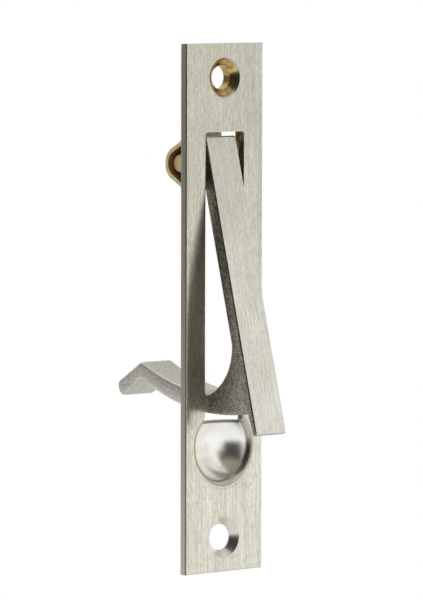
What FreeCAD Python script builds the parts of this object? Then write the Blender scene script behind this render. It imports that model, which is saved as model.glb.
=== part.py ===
import FreeCAD, Part

import math
import os

# Edge pull for a pocket door, in millimetres. X runs across the plate, Y runs
# back into the door and Z runs up. The origin is on the plate's back face,
# halfway between the two screw holes.

# faceplate
plate_length = 98.4
plate_width = 19.05
plate_thick = 1.5
plate_edge_round = 0.2
screw_end_margin = 6.35
screw_hole_r = 2.45
countersink_r = 3.8
slot_width = 9.6
slot_top_margin = 16.4
slot_foot_margin = 28.05
slot_corner_r = 0.5

# finger bowl, drawn back out of the plate just under the slot
bowl_drop = 4.65
bowl_rim_r = 8.1
bowl_ring_r = 6.5
bowl_ring_depth = 0.8
bowl_depth = 5.0
bowl_lip_bulge = 0.19
bowl_wall = 0.9

# pivot pin and the sprung strap that holds it behind the plate
pin_r = 1.7
pin_length = 15.4
pin_end_bevel = 0.25
pivot_drop = 5.8
pin_seat_gap = 0.02
strap_thick = 0.75
strap_width = 17.8
strap_arch_r = 2.45
strap_arch_y = 1.87
strap_leg_slope = math.radians(29)
strap_bend_r = 0.6
strap_end_margin = 1.15
strap_foot = 1.1
strap_window_side_gap = 0.85
strap_window_rise = 1.6

# eyelet that fastens the strap at the upper screw hole
eyelet_wall = 0.2
eyelet_flare_wall = 0.18
eyelet_lip_thick = 0.12
eyelet_roll = 0.3
eyelet_flare_r = 3.4
eyelet_seat_gap = 0.01
eyelet_flange_r = 3.5
eyelet_flange_thick = 0.95

# lever, described in its closed pose and then swung open; the arm's and the
# tail's points are (back from the plate's back face, up from the slot's foot)
open_angle = 14.5
lever_width = 7.6
lever_bore_gap = 0.05
bar_top_drop = 1.6
bar_top_round = 0.5
bar_thick = 2.6
lip_overlap = 4.1
lip_tip_thick = 1.0
lip_root_thick = 1.4
lip_root_rise = 0.15
lip_tip_round = 0.35
hub_below_pivot = 4.7
hub_depth = 6.7
hub_inner_round = 0.8
hub_outer_round = 2.4
heel_front_depth = 3.6
heel_rise = 0.5
heel_round = 0.6
arm_crook_rise = 15.0
arm_crook_mid = (4.4, 8.15)
arm_crook_end = (10.0, 5.85)
arm_top_mid = (18.6, 9.65)
arm_knee = (26.8, 15.3)
arm_knee_round = 1.3
arm_under_knee = (27.6, 12.0)
arm_under_knee_round = 0.8
arm_under_mid = (14.2, 3.6)
arm_edge_round = 0.6
tail_tip_top = (34.4, 12.85)
tail_tip_low = (33.9, 9.65)
tail_tip_round = 1.3
tail_tip_bulge = 0.35
bar_edge_bevel = 0.2

# worked-out sizes
plate_front_y = -plate_thick
screw_z = plate_length / 2 - screw_end_margin
slot_top = plate_length / 2 - slot_top_margin
slot_foot = slot_foot_margin - plate_length / 2
bowl_centre_z = slot_foot - bowl_drop
bowl_front_y = plate_front_y + bowl_ring_depth
bowl_cap_height = bowl_depth - bowl_ring_depth
bowl_sphere_r = (bowl_ring_r ** 2 + bowl_cap_height ** 2) / (2 * bowl_cap_height)
bowl_sphere_y = bowl_front_y + bowl_cap_height - bowl_sphere_r
strap_crest_y = strap_arch_y + strap_arch_r
pivot_y = strap_crest_y - pin_seat_gap - pin_r
pivot_z = slot_top - pivot_drop
eyelet_bore_r = screw_hole_r - eyelet_wall
window_half_width = lever_width / 2 + strap_window_side_gap
bar_front_y = plate_front_y

# reach of the cutting shapes past what they cut, and the slack in comparing two lengths
through = 4 * plate_width
overshoot = 1.0
slack = 1e-6


def point(x, y, z):
    return FreeCAD.Vector(x, y, z)


def box(x0, x1, y0, y1, z0, z1):
    return Part.makeBox(x1 - x0, y1 - y0, z1 - z0, point(x0, y0, z0))


def rod_along_y(radius, y0, y1, z):
    return Part.makeCylinder(radius, y1 - y0, point(0, y0, z), point(0, 1, 0))


def rod_along_x(radius, length, y, z):
    return Part.makeCylinder(radius, length, point(-length / 2, y, z), point(1, 0, 0))


def turned_about_y(outline, z):
    """Revolve an outline of (radius, y) points about the line along Y at height z."""
    corners = [point(r, y, z) for r, y in outline]
    face = Part.Face(Part.makePolygon(corners + corners[:1]))
    return face.revolve(point(0, 0, z), point(0, 1, 0), 360)


def rounded_edges(corners):
    """Edges of a closed outline in the YZ plane, each corner (y, z, radius) rounded."""
    starts = []
    ends = []
    bows = []
    count = len(corners)
    for i, (y, z, radius) in enumerate(corners):
        here = point(0, y, z)
        before = point(0, *corners[i - 1][:2]) - here
        after = point(0, *corners[(i + 1) % count][:2]) - here
        half = before.getAngle(after) / 2
        before.normalize()
        after.normalize()
        reach = radius / math.tan(half)
        middle = before + after
        middle.normalize()
        starts.append(here + before * reach)
        ends.append(here + after * reach)
        bows.append(here + middle * (radius / math.sin(half) - radius))
    edges = []
    for i in range(count):
        if corners[i][2] > 0:
            edges.append(Part.Arc(starts[i], bows[i], ends[i]).toShape())
        edges.append(Part.LineSegment(ends[i], starts[(i + 1) % count]).toShape())
    return edges


def extruded_across(edges, width):
    """Solid of the closed outline, with its width centred on X = 0."""
    solid = Part.Face(Part.Wire(edges)).extrude(point(width, 0, 0))
    solid.translate(point(-width / 2, 0, 0))
    return solid


def make_bowl_hollow():
    """The space inside the finger bowl, from in front of the plate to its floor."""
    rim = point(bowl_rim_r, plate_front_y, bowl_centre_z)
    ring = point(bowl_ring_r, bowl_front_y, bowl_centre_z)
    outward = (rim - ring).cross(point(0, 0, 1)).normalize()
    lip_bow = (rim + ring) * 0.5 + outward * bowl_lip_bulge
    tilt = math.atan2(bowl_ring_r, bowl_front_y - bowl_sphere_y) / 2
    side_y = bowl_sphere_y + bowl_sphere_r * math.cos(tilt)
    side = point(bowl_sphere_r * math.sin(tilt), side_y, bowl_centre_z)
    floor = point(0, plate_front_y + bowl_depth, bowl_centre_z)
    front = point(0, plate_front_y - overshoot, bowl_centre_z)
    front_rim = point(bowl_rim_r, plate_front_y - overshoot, bowl_centre_z)
    edges = [
        Part.LineSegment(front, front_rim).toShape(),
        Part.LineSegment(front_rim, rim).toShape(),
        Part.Arc(rim, lip_bow, ring).toShape(),
        Part.Arc(ring, side, floor).toShape(),
        Part.LineSegment(floor, front).toShape(),
    ]
    face = Part.Face(Part.Wire(edges))
    return face.revolve(point(0, 0, bowl_centre_z), point(0, 1, 0), 360)


def make_bowl_back():
    """The bowl's bulge behind the plate, a cap of a ball."""
    ball = Part.makeSphere(bowl_sphere_r + bowl_wall, point(0, bowl_sphere_y, bowl_centre_z))
    keep = box(-plate_width / 2, plate_width / 2, -plate_thick / 2, through, -plate_length / 2, slot_foot)
    return ball.common(keep)


def make_slot_cutter():
    cutter = box(-slot_width / 2, slot_width / 2, -through, through, slot_foot, slot_top)
    corners = [e for e in cutter.Edges if abs(e.Vertexes[0].Y - e.Vertexes[-1].Y) > through]
    return cutter.makeFillet(slot_corner_r, corners)


def screw_hole(z):
    drill = rod_along_y(screw_hole_r, -through, through, z)
    cone_depth = countersink_r - screw_hole_r
    cone = turned_about_y(
        [
            (0, plate_front_y),
            (countersink_r, plate_front_y),
            (screw_hole_r, plate_front_y + cone_depth),
            (0, plate_front_y + cone_depth),
        ],
        z,
    )
    return drill.fuse(cone)


def make_faceplate():
    half_w = plate_width / 2
    half_l = plate_length / 2
    plate = box(-half_w, half_w, plate_front_y, 0, -half_l, half_l)
    front = [e for e in plate.Edges if all(abs(v.Y - plate_front_y) < slack for v in e.Vertexes)]
    plate = plate.makeFillet(plate_edge_round, front)
    plate = plate.fuse(make_bowl_back()).cut(make_bowl_hollow())
    plate = plate.cut(make_slot_cutter())
    return plate.cut(screw_hole(-screw_z)).cut(screw_hole(screw_z))


def strap_side(radius, y, outward):
    """Where one face of the strap turns: at its two feet and at its crest."""
    rise = strap_arch_y + radius * math.sin(strap_leg_slope) - y
    foot = radius * math.cos(strap_leg_slope) + rise * math.tan(strap_leg_slope)
    crest = strap_arch_y + radius / math.sin(strap_leg_slope)
    bend = strap_bend_r if outward else strap_bend_r + strap_thick
    return [(y, pivot_z + foot, bend), (crest, pivot_z, radius), (y, pivot_z - foot, bend)], foot


def make_bearing_strap():
    inner, foot = strap_side(strap_arch_r, 0, False)
    outer, _ = strap_side(strap_arch_r + strap_thick, strap_thick, True)
    top = plate_length / 2 - strap_end_margin
    bottom = pivot_z - foot - strap_foot
    corners = [(0, top, 0)] + inner + [(0, bottom, 0), (strap_thick, bottom, 0)] + outer[::-1]
    corners.append((strap_thick, top, 0))
    strap = extruded_across(rounded_edges(corners), strap_width)
    window_top = slot_top + strap_window_rise
    window = box(-window_half_width, window_half_width, -overshoot, through, bottom - overshoot, window_top)
    strap = strap.cut(window)
    return strap.cut(rod_along_y(screw_hole_r + eyelet_seat_gap, -overshoot, through, screw_z))


def make_eyelet():
    """Tubular rivet: flared into the countersink, rolled over behind the strap."""
    front = plate_front_y + countersink_r - eyelet_flare_r - eyelet_seat_gap
    tube = screw_hole_r - eyelet_seat_gap
    neck = plate_front_y + countersink_r - tube - 2 * eyelet_seat_gap
    back = strap_thick + eyelet_seat_gap
    flange_back = back + eyelet_flange_thick
    flange = [
        (eyelet_flange_r, back),
        (eyelet_flange_r, flange_back - eyelet_roll),
        (eyelet_flange_r - eyelet_roll, flange_back),
        (eyelet_bore_r + eyelet_roll, flange_back),
        (eyelet_bore_r, flange_back - eyelet_roll),
    ]
    outline = [
        (eyelet_bore_r, neck - eyelet_flare_wall),
        (eyelet_flare_r - eyelet_lip_thick, front - eyelet_lip_thick),
        (eyelet_flare_r, front),
        (tube, neck),
        (tube, back),
    ]
    return turned_about_y(outline + flange, screw_z)


def make_pivot_pin():
    pin = rod_along_x(pin_r, pin_length, pivot_y, pivot_z)
    rims = [e for e in pin.Edges if e.Closed]
    return pin.makeChamfer(pin_end_bevel, rims)


def from_slot_foot(y, z):
    return point(0, y, slot_foot + z)


def bar_outline():
    """Side outline of the bar with its hub and lip, in the closed pose."""
    back_y = bar_front_y + bar_thick
    heel_y = bar_front_y + heel_front_depth
    hub_y = bar_front_y + hub_depth
    bar_foot_z = slot_foot - lip_overlap
    bar_top_z = slot_top - bar_top_drop
    heel_top_z = slot_top + heel_rise
    hub_foot_z = pivot_z - hub_below_pivot
    lip_root = from_slot_foot(bar_front_y + lip_root_thick, lip_root_rise)
    corners = [
        (bar_front_y + lip_tip_thick, bar_foot_z, 0),
        (bar_front_y, bar_foot_z, lip_tip_round),
        (bar_front_y, bar_top_z, bar_top_round),
        (heel_y, bar_top_z, heel_round),
        (heel_y, heel_top_z, heel_round),
        (hub_y, heel_top_z, heel_round),
        (hub_y, hub_foot_z, hub_outer_round),
        (back_y, hub_foot_z, hub_inner_round),
        (back_y, lip_root.z + bar_thick, 0),
        (lip_root.y, lip_root.z, 0),
    ]
    return rounded_edges(corners)


def arm_outline():
    """Side outline of the arm and its bent tail; its root is buried in the bar."""
    crook_start = from_slot_foot(bar_front_y + bar_thick, arm_crook_rise)
    crook_end = from_slot_foot(*arm_crook_end)
    knee = from_slot_foot(*arm_knee)
    under_knee = from_slot_foot(*arm_under_knee)
    tip_low = from_slot_foot(*tail_tip_low)
    tip_top = from_slot_foot(*tail_tip_top)
    tip_bow = (tip_low + tip_top) * 0.5 + point(0, tail_tip_bulge, 0)
    root_y = bar_front_y + lip_root_thick
    root_foot = from_slot_foot(root_y, lip_root_rise)
    root_top = from_slot_foot(root_y, arm_crook_rise)
    return [
        Part.Arc(crook_start, from_slot_foot(*arm_crook_mid), crook_end).toShape(),
        Part.Arc(crook_end, from_slot_foot(*arm_top_mid), knee).toShape(),
        Part.LineSegment(knee, tip_top).toShape(),
        Part.Arc(tip_top, tip_bow, tip_low).toShape(),
        Part.LineSegment(tip_low, under_knee).toShape(),
        Part.Arc(under_knee, from_slot_foot(*arm_under_mid), root_foot).toShape(),
        Part.LineSegment(root_foot, root_top).toShape(),
        Part.LineSegment(root_top, crook_start).toShape(),
    ]


def side_edges(solid):
    """The edges round the two sides of a solid extruded across."""
    return [e for e in solid.Edges if abs(e.Vertexes[0].X - e.Vertexes[-1].X) < slack]


def rounded_across(solid, spots, radius):
    """Round the edges that run across the solid at these places on its outline."""
    found = []
    for edge in solid.Edges:
        start = edge.Vertexes[0].Point
        if abs(start.x - edge.Vertexes[-1].X) < slack:
            continue
        if any(math.hypot(start.y - spot.y, start.z - spot.z) < slack for spot in spots):
            found.append(edge)
    return solid.makeFillet(radius, found)


def make_arm():
    arm = extruded_across(arm_outline(), lever_width)
    arm = rounded_across(arm, [from_slot_foot(*arm_knee)], arm_knee_round)
    arm = rounded_across(arm, [from_slot_foot(*arm_under_knee)], arm_under_knee_round)
    tail_tip = [from_slot_foot(*tail_tip_top), from_slot_foot(*tail_tip_low)]
    arm = rounded_across(arm, tail_tip, tail_tip_round)
    root_y = bar_front_y + bar_thick + slack
    outside = [e for e in side_edges(arm) if any(v.Y > root_y for v in e.Vertexes)]
    return arm.makeFillet(arm_edge_round, outside)


def make_lever():
    bar = extruded_across(bar_outline(), lever_width)
    bar = bar.makeChamfer(bar_edge_bevel, side_edges(bar))
    lever = bar.fuse(make_arm()).removeSplitter()
    bore_length = lever_width + 2 * overshoot
    lever = lever.cut(rod_along_x(pin_r + lever_bore_gap, bore_length, pivot_y, pivot_z))
    lever.rotate(point(0, pivot_y, pivot_z), point(1, 0, 0), -open_angle)
    return lever


def main():
    os.makedirs("parts", exist_ok=True)
    solids = {
        "faceplate": make_faceplate(),
        "bearing_strap": make_bearing_strap(),
        "eyelet": make_eyelet(),
        "pivot_pin": make_pivot_pin(),
        "lever": make_lever(),
    }
    for name, shape in solids.items():
        shape.exportStep("parts/" + name + ".step")
        print(name, shape.isValid(), len(shape.Solids), round(shape.Volume, 1))


main()
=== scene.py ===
import math

import bpy
from mathutils import Matrix, Vector


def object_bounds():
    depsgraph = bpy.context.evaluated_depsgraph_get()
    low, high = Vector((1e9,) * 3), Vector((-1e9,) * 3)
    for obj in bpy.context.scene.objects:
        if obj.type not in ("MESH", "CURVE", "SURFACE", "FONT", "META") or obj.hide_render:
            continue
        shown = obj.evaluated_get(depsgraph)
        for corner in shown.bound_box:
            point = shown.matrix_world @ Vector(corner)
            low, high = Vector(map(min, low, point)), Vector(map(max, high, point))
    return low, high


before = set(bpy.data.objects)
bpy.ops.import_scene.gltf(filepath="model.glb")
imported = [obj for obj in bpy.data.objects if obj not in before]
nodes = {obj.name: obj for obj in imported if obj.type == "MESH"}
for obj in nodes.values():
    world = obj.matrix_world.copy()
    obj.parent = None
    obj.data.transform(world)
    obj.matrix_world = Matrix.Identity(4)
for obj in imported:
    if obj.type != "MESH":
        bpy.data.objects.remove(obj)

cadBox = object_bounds()
bpy.ops.object.select_all(action="DESELECT")
print("frame loaded:", sorted(nodes))


# all lengths are in metres: X across the plate, Y back into the door, Z up
cameraView = {
    "yaw": 42.07,  # degrees the camera stands to the plate's left
    "pitch": 4.06,  # degrees it looks down
    "roll": -0.113,
    "distance": 0.963,
    "sideOffset": 0.00141,  # how far the plate's middle lies right of the picture's middle
    "downOffset": 0.00146,  # and how far below it
    "sensor": 36.0,
    "focalPixels": 5177.0,
    "imageWidth": 423.0,
    "clipStart": 0.05,
    "clipEnd": 20.0,
}


def addCamera(view):
    yaw = math.radians(view["yaw"])
    pitch = math.radians(view["pitch"])
    roll = math.radians(view["roll"])
    right = Vector((math.cos(yaw), -math.sin(yaw), 0))
    ahead = Vector((
        math.sin(yaw) * math.cos(pitch),
        math.cos(yaw) * math.cos(pitch),
        -math.sin(pitch),
    ))
    down = ahead.cross(right)
    rightTurned = right * math.cos(roll) + down * math.sin(roll)
    downTurned = down * math.cos(roll) - right * math.sin(roll)
    aside = rightTurned * view["sideOffset"] + downTurned * view["downOffset"]
    place = -(aside + ahead * view["distance"])
    data = bpy.data.cameras.new("photoCamera")
    camera = bpy.data.objects.new("photoCamera", data)
    bpy.context.scene.collection.objects.link(camera)
    data.sensor_fit = "HORIZONTAL"
    data.sensor_width = view["sensor"]
    data.lens = view["focalPixels"] * view["sensor"] / view["imageWidth"]
    data.clip_start = view["clipStart"]
    data.clip_end = view["clipEnd"]
    turn = Matrix((rightTurned, -downTurned, -ahead)).transposed()
    camera.matrix_world = Matrix.Translation(place) @ turn.to_4x4()
    bpy.context.scene.camera = camera


addCamera(cameraView)
print("camera placed")


studio = {
    "floorDrop": 0.06,  # the floor's distance below the plate
    "floorSize": 3.0,
    "floorColour": (0.82, 0.82, 0.81, 1),
    "floorWhite": (0.75, 1.0),  # share of plain white under the plate and far from it
    "floorFade": (0.11, 0.25),  # the distances between which it turns white
    "worldDiffuse": 0.55,
    "cardColour": (1, 0.98, 0.95, 1),
    "cardFade": 0.3,  # share of a card's side over which it fades out
    # cards that only the metal mirrors:
    # azimuth, elevation, distance, width, height, brightness
    "cards": {
        "cardCamera": (-43, 22, 0.22, 0.39, 0.62, 0.05),
        "cardLeft": (-122, 6, 0.70, 1.70, 1.3, 0.30),
        "cardRight": (42, 3, 0.60, 0.48, 0.13, 0.66),
        "cardHigh": (44, 25, 0.60, 0.48, 0.16, 0.67),
        "cardBack": (128, 34, 0.70, 0.60, 0.45, 0.75),
        "cardKey": (68, 45, 1.35, 1.8, 1.8, 0.60),
    },
    # azimuth, elevation, distance, size, watts
    "lamps": {
        "keyLamp": (70, 44, 1.2, 0.9, 0.6),
        "topLamp": (-36, 77, 1.0, 0.16, 0.12),
        "backLamp": (170, 40, 1.2, 0.8, 0.5),
    },
}


def placeAround(azimuth, elevation, distance):
    side = math.radians(azimuth)
    up = math.radians(elevation)
    flat = distance * math.cos(up)
    return Vector((flat * math.sin(side), -flat * math.cos(side), distance * math.sin(up)))


# 1 for rays that the camera sees, straight, mirrored or through glass, else 0
def addRayMask(tree):
    path = tree.nodes.new("ShaderNodeLightPath")
    share = path.outputs["Is Camera Ray"]
    for kind in ("Is Glossy Ray", "Is Transmission Ray"):
        either = tree.nodes.new("ShaderNodeMath")
        either.operation = "MAXIMUM"
        tree.links.new(share, either.inputs[0])
        tree.links.new(path.outputs[kind], either.inputs[1])
        share = either.outputs[0]
    return share


def mixInto(target, tree, share, first, second):
    mix = tree.nodes.new("ShaderNodeMixShader")
    tree.links.new(share, mix.inputs["Fac"])
    tree.links.new(first, mix.inputs[1])
    tree.links.new(second, mix.inputs[2])
    tree.links.new(mix.outputs[0], target)


def addBackground(tree, strength):
    light = tree.nodes.new("ShaderNodeBackground")
    light.inputs["Color"].default_value = (1, 1, 1, 1)
    light.inputs["Strength"].default_value = strength
    return light.outputs[0]


def buildWorld(settings):
    world = bpy.data.worlds.new("whiteStudio")
    bpy.context.scene.world = world
    world.use_nodes = True
    tree = world.node_tree
    tree.nodes.clear()
    target = tree.nodes.new("ShaderNodeOutputWorld").inputs["Surface"]
    dim = addBackground(tree, settings["worldDiffuse"])
    white = addBackground(tree, 1.0)
    mixInto(target, tree, addRayMask(tree), dim, white)


def newSurface(piece, name):
    material = bpy.data.materials.new(name)
    material.use_nodes = True
    material.node_tree.nodes.clear()
    piece.data.materials.append(material)
    return material.node_tree


def buildFloor(settings):
    low = cadBox[0][2] - settings["floorDrop"]
    bpy.ops.mesh.primitive_plane_add(size=settings["floorSize"], location=(0, 0, 0))
    floor = bpy.context.object
    floor.name = "floor"
    floor.data.transform(Matrix.Translation((0, 0, low)))
    tree = newSurface(floor, "paleFloor")
    target = tree.nodes.new("ShaderNodeOutputMaterial").inputs["Surface"]
    diffuse = tree.nodes.new("ShaderNodeBsdfDiffuse")
    diffuse.inputs["Color"].default_value = settings["floorColour"]
    white = tree.nodes.new("ShaderNodeEmission")
    white.inputs["Strength"].default_value = 1.0
    coords = tree.nodes.new("ShaderNodeTexCoord")
    length = tree.nodes.new("ShaderNodeVectorMath")
    length.operation = "LENGTH"
    tree.links.new(coords.outputs["Object"], length.inputs[0])
    fade = tree.nodes.new("ShaderNodeMapRange")
    fade.interpolation_type = "SMOOTHSTEP"
    fade.inputs["From Min"].default_value = settings["floorFade"][0]
    fade.inputs["From Max"].default_value = settings["floorFade"][1]
    fade.inputs["To Min"].default_value = settings["floorWhite"][0]
    fade.inputs["To Max"].default_value = settings["floorWhite"][1]
    tree.links.new(length.outputs["Value"], fade.inputs["Value"])
    share = tree.nodes.new("ShaderNodeMath")
    share.operation = "MULTIPLY"
    tree.links.new(addRayMask(tree), share.inputs[0])
    tree.links.new(fade.outputs[0], share.inputs[1])
    mixInto(target, tree, share.outputs[0], diffuse.outputs[0], white.outputs[0])


def addCard(settings, name, azimuth, elevation, distance, width, height, brightness):
    centre = placeAround(azimuth, elevation, distance)
    bpy.ops.mesh.primitive_plane_add(size=1, location=(0, 0, 0))
    card = bpy.context.object
    card.name = name
    facing = centre.to_track_quat("Z", "Y").to_matrix().to_4x4()
    grow = Matrix.Diagonal((width, height, 1, 1))
    card.data.transform(Matrix.Translation(centre) @ facing @ grow)
    tree = newSurface(card, name)
    target = tree.nodes.new("ShaderNodeOutputMaterial").inputs["Surface"]
    glow = tree.nodes.new("ShaderNodeEmission")
    glow.inputs["Color"].default_value = settings["cardColour"]
    glow.inputs["Strength"].default_value = brightness
    clear = tree.nodes.new("ShaderNodeBsdfTransparent")
    coords = tree.nodes.new("ShaderNodeTexCoord")
    split = tree.nodes.new("ShaderNodeSeparateXYZ")
    tree.links.new(coords.outputs["UV"], split.inputs[0])
    both = tree.nodes.new("ShaderNodeMath")
    both.operation = "MULTIPLY"
    # the distance to the nearer edge runs up to 0.5 in the middle
    for axis, slot in zip(("X", "Y"), both.inputs):
        toEdge = tree.nodes.new("ShaderNodeMath")
        toEdge.operation = "PINGPONG"
        toEdge.inputs[1].default_value = 0.5
        tree.links.new(split.outputs[axis], toEdge.inputs[0])
        soft = tree.nodes.new("ShaderNodeMapRange")
        soft.interpolation_type = "SMOOTHSTEP"
        soft.inputs["From Max"].default_value = settings["cardFade"]
        tree.links.new(toEdge.outputs[0], soft.inputs["Value"])
        tree.links.new(soft.outputs[0], slot)
    mixInto(target, tree, both.outputs[0], clear.outputs[0], glow.outputs[0])
    card.visible_camera = False
    card.visible_diffuse = False
    card.visible_shadow = False


def addLamp(name, azimuth, elevation, distance, size, watts):
    place = placeAround(azimuth, elevation, distance)
    data = bpy.data.lights.new(name, "AREA")
    data.shape = "DISK"
    data.size = size
    data.energy = watts
    lamp = bpy.data.objects.new(name, data)
    lamp.location = place
    lamp.rotation_euler = place.to_track_quat("Z", "Y").to_euler()
    bpy.context.scene.collection.objects.link(lamp)


buildWorld(studio)
buildFloor(studio)
for cardName, values in studio["cards"].items():
    addCard(studio, cardName, *values)
for lampName, values in studio["lamps"].items():
    addLamp(lampName, *values)
bpy.context.scene.view_settings.view_transform = "Standard"
print("studio built")


# short names for the shader nodes that the finishes are made of
class Tree:
    def __init__(self, name):
        self.material = bpy.data.materials.new(name)
        self.material.use_nodes = True
        self.tree = self.material.node_tree
        self.tree.nodes.clear()
        self.output = self.add("ShaderNodeOutputMaterial")
        self.shader = self.add("ShaderNodeBsdfPrincipled")
        self.link(self.shader.outputs[0], self.output.inputs["Surface"])
        self.coords = self.add("ShaderNodeTexCoord")

    def add(self, kind):
        return self.tree.nodes.new(kind)

    def link(self, source, target):
        self.tree.links.new(source, target)

    # links a socket, or sets a plain number or colour
    def feed(self, slot, value):
        if isinstance(value, bpy.types.NodeSocket):
            self.link(value, slot)
        else:
            slot.default_value = value

    def math(self, operation, first, second=None):
        node = self.add("ShaderNodeMath")
        node.operation = operation
        self.feed(node.inputs[0], first)
        if second is not None:
            self.feed(node.inputs[1], second)
        return node.outputs[0]

    def times(self, first, *others):
        for other in others:
            first = self.math("MULTIPLY", first, other)
        return first

    def inverse(self, share):
        return self.math("SUBTRACT", 1, share)

    def axis(self, output, letter):
        split = self.add("ShaderNodeSeparateXYZ")
        self.link(self.coords.outputs[output], split.inputs[0])
        return split.outputs[letter]

    # distance from the line that runs front to back at this height
    def fromAxis(self, height):
        x = self.axis("Object", "X")
        z = self.math("SUBTRACT", self.axis("Object", "Z"), height)
        return self.math("SQRT", self.math("ADD", self.times(x, x), self.times(z, z)))

    # pattern: scale, detail, roughness, and its length along Z against its width
    def noise(self, pattern, lean=0):
        scale, detail, roughness, length = pattern
        mapping = self.add("ShaderNodeMapping")
        mapping.vector_type = "TEXTURE"
        mapping.inputs["Rotation"].default_value = (math.radians(lean), 0, 0)
        mapping.inputs["Scale"].default_value = (1, 1, length)
        self.link(self.coords.outputs["Object"], mapping.inputs["Vector"])
        noise = self.add("ShaderNodeTexNoise")
        noise.inputs["Scale"].default_value = scale
        noise.inputs["Detail"].default_value = detail
        noise.inputs["Roughness"].default_value = roughness
        self.link(mapping.outputs[0], noise.inputs["Vector"])
        return noise.outputs["Fac"]

    # span: a low and a high value, and what comes out at each
    def ramp(self, value, span):
        node = self.add("ShaderNodeMapRange")
        node.interpolation_type = "SMOOTHSTEP"
        for name, number in zip(("From Min", "From Max", "To Min", "To Max"), span):
            node.inputs[name].default_value = number
        self.link(value, node.inputs["Value"])
        return node.outputs["Result"]

    def above(self, value, edge):
        return self.ramp(value, (*edge, 0, 1))

    def below(self, value, edge):
        return self.ramp(value, (*edge, 1, 0))

    def blend(self, share, first, second):
        node = self.add("ShaderNodeMix")
        self.link(share, node.inputs[0])
        self.feed(node.inputs[2], first)
        self.feed(node.inputs[3], second)
        return node.outputs[0]

    def mixColour(self, share, first, second):
        node = self.add("ShaderNodeMix")
        node.data_type = "RGBA"
        self.link(share, node.inputs[0])
        self.feed(node.inputs[6], first)
        self.feed(node.inputs[7], second)
        return node.outputs[2]

    def bump(self, height, distance, strength, normal=None):
        node = self.add("ShaderNodeBump")
        node.inputs["Distance"].default_value = distance
        node.inputs["Strength"].default_value = strength
        self.link(height, node.inputs["Height"])
        if normal is not None:
            self.link(normal, node.inputs["Normal"])
        return node.outputs[0]


plateLook = {
    "light": (0.92, 0.90, 0.77, 1),
    "dull": (0.47, 0.455, 0.37, 1),
    "polished": (1.0, 0.985, 0.93, 1),
    "cone": (0.76, 0.73, 0.65, 1),
    "wall": (0.34, 0.29, 0.21, 1),
    "back": (0.50, 0.48, 0.41, 1),
    # painted shade: the tone of the dark lines along the slot's foot and round the hollow
    "paintedLineShade": (0.30, 0.285, 0.24, 1),
    # painted reflection: a dark line along the rounded front edges
    "edge": (0.20, 0.19, 0.16, 1),
    # places: a pair marks where one finish gives way to the next
    "slotSide": (0.0049, 0.0050),
    "slotFoot": (-0.0215, -0.0214),
    "slotTop": (0.0331, 0.0332),
    "footLine": (-0.02175, -0.02165),  # the painted dark line (painted shade) along the slot's foot
    "bowlHeight": -0.0258,
    "lipEdge": (0.00805, 0.00835),
    "hollowEdge": (0.00645, 0.00655),
    "creaseOut": (0.00660, 0.00672),  # the painted dark line (painted shade) round the polished hollow
    "creaseIn": (0.00628, 0.00640),
    "creaseShare": 0.75,
    "holeHeight": -0.04285,
    "coneEdge": (0.00372, 0.00388),
    "frontDepth": (-0.00142, -0.00130),
    "bandDepth": (-0.00125, -0.00110),
    "creaseDepth": (-0.0011, -0.0009),
    "backDepth": (0.0, 0.0002),
    "edgeShadeBand": (0.00915, 0.00930),  # where the painted dark reflection along the front edge begins
    "edgeShadeShare": 0.9,
    # the normal's Y, or minus it for the front
    "frontFacing": (0.80, 0.97),
    "backFacing": (0.5, 0.9),
    "bowlFacing": (0.1, 0.3),
    # patterns: scale, detail, roughness, length
    "streaks": (3000, 3, 0.65, 33.0),
    "grain": (5000, 3, 0.7, 4.5),
    "clouds": (70, 3, 0.6, 1),
    "specks": (2600, 2, 0.6, 1),
    "ripples": (420, 2, 0.5, 1),
    # how much of the second colour a pattern brings
    "cloudShare": (0.3, 0.75, 0, 0.30),
    "streakShare": (0.38, 0.68, 0, 0.45),
    "grainShare": (0.38, 0.66, 0, 0.62),
    "speckShare": (0.4, 0.7, 0, 0.6),
    "shineShare": (0.35, 0.75, 0, 0.05),
    "faceRough": (0.2, 0.8, 0.21, 0.30),
    "bowlRough": (0.3, 0.7, 0.22, 0.30),
    "backRough": (0.2, 0.8, 0.35, 0.5),
    "coneRough": 0.25,
    "streakDepth": 0.000005,
    "rippleHeight": 6.0,  # against the streaks
    "edgeSoftness": 0.00022,
    "edgeSamples": 8,
}


# shares from 0 to 1 that mark the plate's faces
def plateAreas(t, look):
    across = t.math("ABSOLUTE", t.axis("Object", "X"))
    y = t.axis("Object", "Y")
    z = t.axis("Object", "Z")
    turned = t.axis("Normal", "Y")
    fromBowl = t.fromAxis(look["bowlHeight"])
    facing = t.above(t.times(turned, -1), look["frontFacing"])
    flatBack = t.above(turned, look["backFacing"])
    front = t.times(facing, t.below(y, look["frontDepth"]))
    hollow = t.times(t.below(fromBowl, look["lipEdge"]), t.below(turned, look["bowlFacing"]))
    inSlot = t.times(
        t.below(across, look["slotSide"]),
        t.above(z, look["slotFoot"]),
        t.below(z, look["slotTop"]),
    )
    crease = t.times(
        t.below(fromBowl, look["creaseOut"]),
        t.inverse(t.below(fromBowl, look["creaseIn"])),
        look["creaseShare"],
    )
    # painted shade: dark lines at the slot's foot and at the hollow's crease
    lines = t.math("MAXIMUM", crease, t.above(z, look["footLine"]))
    fromHole = t.fromAxis(look["holeHeight"])
    return {
        "front": front,
        "bowl": t.times(hollow, t.below(fromBowl, look["hollowEdge"])),
        "wall": t.times(inSlot, t.inverse(t.math("ADD", facing, flatBack))),
        "lines": t.times(hollow, lines, t.above(y, look["creaseDepth"])),
        "cone": t.times(
            t.below(fromHole, look["coneEdge"]),
            t.inverse(front),
            t.inverse(flatBack),
        ),
        # painted reflection: the dark line along the rounded front edges
        "edge": t.times(
            t.above(across, look["edgeShadeBand"]),
            t.below(y, look["bandDepth"]),
            t.inverse(facing),
            look["edgeShadeShare"],
        ),
        "back": t.times(t.above(y, look["backDepth"]), flatBack),
    }


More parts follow.
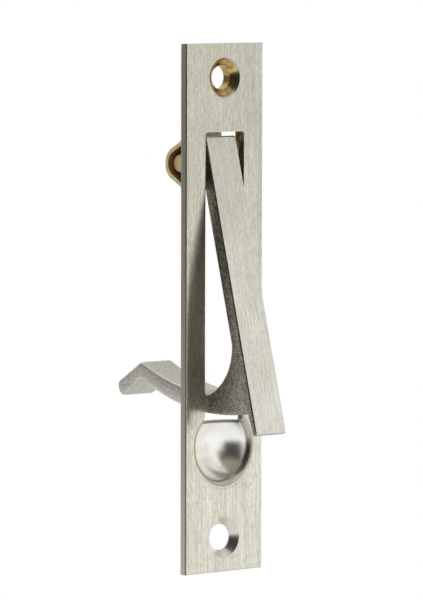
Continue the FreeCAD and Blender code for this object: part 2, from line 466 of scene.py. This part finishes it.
def plateFinish(look):
    t = Tree("plateNickel")
    area = plateAreas(t, look)
    streaks = t.noise(look["streaks"])
    grain = t.noise(look["grain"])
    clouds = t.noise(look["clouds"])
    specks = t.noise(look["specks"])

    tone = t.mixColour(t.ramp(clouds, look["cloudShare"]), look["light"], look["dull"])
    tone = t.mixColour(t.ramp(streaks, look["streakShare"]), tone, look["dull"])
    tone = t.mixColour(t.ramp(grain, look["grainShare"]), tone, look["dull"])
    plain = t.mixColour(t.ramp(specks, look["speckShare"]), look["back"], look["dull"])
    shine = t.mixColour(t.ramp(clouds, look["shineShare"]), look["polished"], look["light"])
    tone = t.mixColour(t.inverse(area["front"]), tone, plain)
    tone = t.mixColour(area["wall"], tone, look["wall"])
    tone = t.mixColour(area["bowl"], tone, shine)
    # painted shade along the slot's foot and the hollow's crease
    tone = t.mixColour(area["lines"], tone, look["paintedLineShade"])
    tone = t.mixColour(area["cone"], tone, look["cone"])
    # painted dark reflection along the front edges
    tone = t.mixColour(area["edge"], tone, look["edge"])
    t.link(tone, t.shader.inputs["Base Color"])

    rough = t.ramp(streaks, look["faceRough"])
    rough = t.blend(area["bowl"], rough, t.ramp(clouds, look["bowlRough"]))
    rough = t.blend(area["cone"], rough, look["coneRough"])
    rough = t.blend(area["back"], rough, t.ramp(specks, look["backRough"]))
    t.link(rough, t.shader.inputs["Roughness"])
    t.shader.inputs["Metallic"].default_value = 1

    brushedArea = t.times(area["front"], t.inverse(area["bowl"]))
    brushed = t.times(t.math("ADD", streaks, grain), brushedArea)
    ripples = t.times(t.noise(look["ripples"]), area["bowl"], look["rippleHeight"])
    soft = t.add("ShaderNodeBevel")
    soft.samples = look["edgeSamples"]
    soft.inputs["Radius"].default_value = look["edgeSoftness"]
    height = t.math("ADD", brushed, ripples)
    relief = t.bump(height, look["streakDepth"], 1.0, soft.outputs[0])
    t.link(relief, t.shader.inputs["Normal"])
    return t.material


leverLook = {
    "light": (0.90, 0.88, 0.79, 1),
    "dull": (0.50, 0.485, 0.41, 1),
    "cast": (0.19, 0.175, 0.15, 1),
    "castLight": (0.58, 0.545, 0.47, 1),
    # painted shade on the bar's faces turned into the door
    "paintedBackShade": (0.12, 0.108, 0.09, 1),
    # painted shade on the lever's sides inside the slot
    "root": (0.10, 0.088, 0.07, 1),
    # painted light: the arm out behind the plate is lighter, its sides lighter than its top
    "arm": (0.62, 0.60, 0.56, 1),
    "armDull": (0.38, 0.36, 0.33, 1),
    "armSide": (0.76, 0.725, 0.655, 1),
    # places: a pair marks where one finish gives way to the next
    "sideEdge": (0.00335, 0.00375),
    "heelStart": (0.0008, 0.0014),  # behind this a front face isn't brushed
    "hubStart": (0.004, 0.012),  # above this the arm gets none of its painted light
    "armStart": (0.0016, 0.0030),  # where the arm's painted light begins behind the plate
    "armSideStart": (0.0035, 0.0060),  # the same for its sides
    "rootStart": (-0.0035, 0.0005, 0, 0.85),  # where painted shade darkens its sides in the slot
    "rootTop": (-0.012, -0.006),
    # the normal's Y, or minus it for the front
    "frontFacing": (0.80, 0.92),
    "backFacing": (0.3, 0.7),
    # patterns: scale, detail, roughness, length
    "barLean": -14.5,  # degrees, so the brushed lines run along the swung-out bar
    "streaks": (3000, 3, 0.65, 33.0),
    "grain": (5000, 3, 0.7, 4.5),
    "clouds": (120, 3, 0.6, 1),
    "lumps": (3600, 4, 0.65, 1),
    "pits": (1440, 3, 0.6, 1),
    # how much of the second colour a pattern brings
    "cloudShare": (0.3, 0.75, 0, 0.3),
    "streakShare": (0.38, 0.68, 0, 0.45),
    "grainShare": (0.42, 0.66, 0, 0.55),
    "lumpShare": (0.40, 0.60, 0, 1),
    "pitShare": (0.45, 0.65, 0, 0.5),
    "armShare": (0.38, 0.62, 0, 0.8),
    "faceRough": (0.2, 0.8, 0.20, 0.32),
    "castRough": (0.2, 0.8, 0.26, 0.38),
    "castDepth": 0.00005,
    "brushedHeight": 0.1,  # against the casting's lumps
}


def leverFinish(look):
    t = Tree("leverNickel")
    y = t.axis("Object", "Y")
    z = t.axis("Object", "Z")
    turned = t.axis("Normal", "Y")
    side = t.above(t.math("ABSOLUTE", t.axis("Object", "X")), look["sideEdge"])
    front = t.above(t.times(turned, -1), look["frontFacing"])
    front = t.times(front, t.below(y, look["heelStart"]))
    behind = t.blend(side, t.above(y, look["armStart"]), t.above(y, look["armSideStart"]))
    arm = t.times(behind, t.below(z, look["hubStart"]))
    # painted shade: the sides darken where they sit in the slot
    root = t.times(side, t.ramp(y, look["rootStart"]), t.below(z, look["rootTop"]))
    streaks = t.noise(look["streaks"], look["barLean"])
    grain = t.noise(look["grain"], look["barLean"])
    clouds = t.noise(look["clouds"])
    lumps = t.noise(look["lumps"])
    pits = t.noise(look["pits"])

    face = t.mixColour(t.ramp(clouds, look["cloudShare"]), look["light"], look["dull"])
    face = t.mixColour(t.ramp(streaks, look["streakShare"]), face, look["dull"])
    face = t.mixColour(t.ramp(grain, look["grainShare"]), face, look["dull"])
    # painted light: lighter tones where the arm stands out behind the plate
    litArmTone = t.mixColour(side, look["arm"], look["armSide"])
    litArmTone = t.mixColour(t.ramp(lumps, look["armShare"]), litArmTone, look["armDull"])
    tone = t.mixColour(t.ramp(lumps, look["lumpShare"]), look["cast"], look["castLight"])
    tone = t.mixColour(t.ramp(pits, look["pitShare"]), tone, look["cast"])
    # painted shade on the faces turned into the door
    tone = t.mixColour(t.above(turned, look["backFacing"]), tone, look["paintedBackShade"])
    tone = t.mixColour(root, tone, look["root"])
    tone = t.mixColour(arm, tone, litArmTone)
    tone = t.mixColour(front, tone, face)
    t.link(tone, t.shader.inputs["Base Color"])

    castRough = t.ramp(lumps, look["castRough"])
    rough = t.blend(front, castRough, t.ramp(streaks, look["faceRough"]))
    t.link(rough, t.shader.inputs["Roughness"])
    t.shader.inputs["Metallic"].default_value = 1

    castHeight = t.times(t.math("ADD", lumps, pits), t.inverse(front))
    brushed = t.times(t.math("ADD", streaks, grain), front, look["brushedHeight"])
    relief = t.bump(t.math("ADD", castHeight, brushed), look["castDepth"], 1.0)
    t.link(relief, t.shader.inputs["Normal"])
    return t.material


# one dictionary for each brass piece, under its node's name
brassLooks = {
    "pivot_pin": {
        "name": "pinBrass",
        "light": (1.0, 0.84, 0.48, 1),
        "dull": (0.98, 0.76, 0.40, 1),
        "rough": (0.55, 0.70),
        "metal": 0.35,
    },
    "bearing_strap": {
        "name": "strapBronze",
        "light": (0.98, 0.84, 0.54, 1),
        "dull": (0.76, 0.60, 0.36, 1),
        "rough": (0.45, 0.60),
        "metal": 0.85,
        "inside": (0.34, 0.22, 0.10, 1),  # painted shade on the faces turned to the plate
        "sideEdge": (0.0086, 0.0088),
        "sideFacing": (0.3, 0.6),
        "insideFacing": (0.05, 0.3),
    },
    "eyelet": {
        "name": "eyeletBrass",
        "light": (0.72, 0.52, 0.20, 1),
        "dull": (0.34, 0.22, 0.07, 1),
        "rough": (0.16, 0.30),
        "metal": 1,
        "inside": (0.36, 0.25, 0.10, 1),  # painted shade in the bore
        "boreHeight": 0.04285,
        "boreEdge": (0.00224, 0.00232),
    },
}

brassGrain = {
    # patterns: scale, detail, roughness, length
    "blotches": (500, 4, 0.65, 1),
    "scratches": (6000, 3, 0.6, 1),
    "blotchShare": (0.35, 0.65, 0, 1),
    "scratchSpan": (0.2, 0.8),
    "scratchDepth": 0.00001,
    "scratchStrength": 0.6,
}


# painted shade: the strap's faces turned to the plate
def strapInside(t, look):
    across = t.above(t.math("ABSOLUTE", t.axis("Object", "X")), look["sideEdge"])
    sideways = t.above(t.math("ABSOLUTE", t.axis("Normal", "X")), look["sideFacing"])
    towardPlate = t.below(t.axis("Normal", "Y"), look["insideFacing"])
    return t.times(t.inverse(t.times(across, sideways)), towardPlate)


# painted shade: the eyelet's bore
def eyeletInside(t, look):
    return t.below(t.fromAxis(look["boreHeight"]), look["boreEdge"])


def brassFinish(look, grain, findInside=None):
    t = Tree(look["name"])
    blotches = t.noise(grain["blotches"])
    scratches = t.noise(grain["scratches"])
    tone = t.mixColour(t.ramp(blotches, grain["blotchShare"]), look["light"], look["dull"])
    if findInside is not None:
        # painted shade on the inner faces
        tone = t.mixColour(findInside(t, look), tone, look["inside"])
    rough = t.ramp(scratches, (*grain["scratchSpan"], *look["rough"]))
    relief = t.bump(scratches, grain["scratchDepth"], grain["scratchStrength"])
    t.link(tone, t.shader.inputs["Base Color"])
    t.link(rough, t.shader.inputs["Roughness"])
    t.link(relief, t.shader.inputs["Normal"])
    t.shader.inputs["Metallic"].default_value = look["metal"]
    return t.material


shading = {
    "weldDistance": 0.000002,
    "creaseAngle": 24,  # degrees; a sharper edge stays hard
}


def dress(nodeName, material):
    piece = nodes[nodeName]
    piece.data.materials.clear()
    piece.data.materials.append(material)
    for polygon in piece.data.polygons:
        polygon.use_smooth = True
        polygon.material_index = 0
    weld = piece.modifiers.new("joinCorners", "WELD")
    weld.merge_threshold = shading["weldDistance"]
    crease = piece.modifiers.new("keepEdges", "EDGE_SPLIT")
    crease.split_angle = math.radians(shading["creaseAngle"])


dress("faceplate", plateFinish(plateLook))
dress("lever", leverFinish(leverLook))
dress("pivot_pin", brassFinish(brassLooks["pivot_pin"], brassGrain))
dress("bearing_strap", brassFinish(brassLooks["bearing_strap"], brassGrain, strapInside))
dress("eyelet", brassFinish(brassLooks["eyelet"], brassGrain, eyeletInside))
print("finishes applied")
